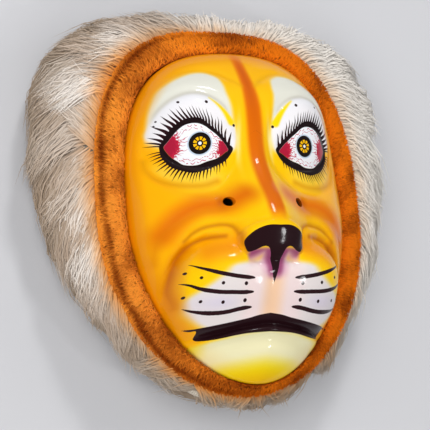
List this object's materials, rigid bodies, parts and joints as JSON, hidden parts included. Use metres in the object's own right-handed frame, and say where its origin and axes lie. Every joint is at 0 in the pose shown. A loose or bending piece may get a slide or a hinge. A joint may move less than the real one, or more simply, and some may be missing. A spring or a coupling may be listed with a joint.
{
  "type": "tiger mask",
  "caption": "Big-cat face mask: a hollow glossy painted shell with two sight holes, framed by a short-pile band and a long-pile mane.",
  "frame": {"origin": "centre of the bounding box at the plane the mask lies on, its open back down", "axes": "+Z out of the face, +X towards the viewer's right, +Y towards the top of the head"},
  "size_m": [0.3158, 0.329, 0.1449],
  "materials": {
    "face_enamel": "hand-painted gloss enamel on a moulded shell",
    "band_fleece": "short matted pile dyed orange-brown",
    "mane_fleece": "long silky cream pile"
  },
  "bodies": {
    "root": {"face_shell": "face_enamel", "short_pile_band": "band_fleece", "fleece_mane": "mane_fleece"}
  },
  "joints": []
}
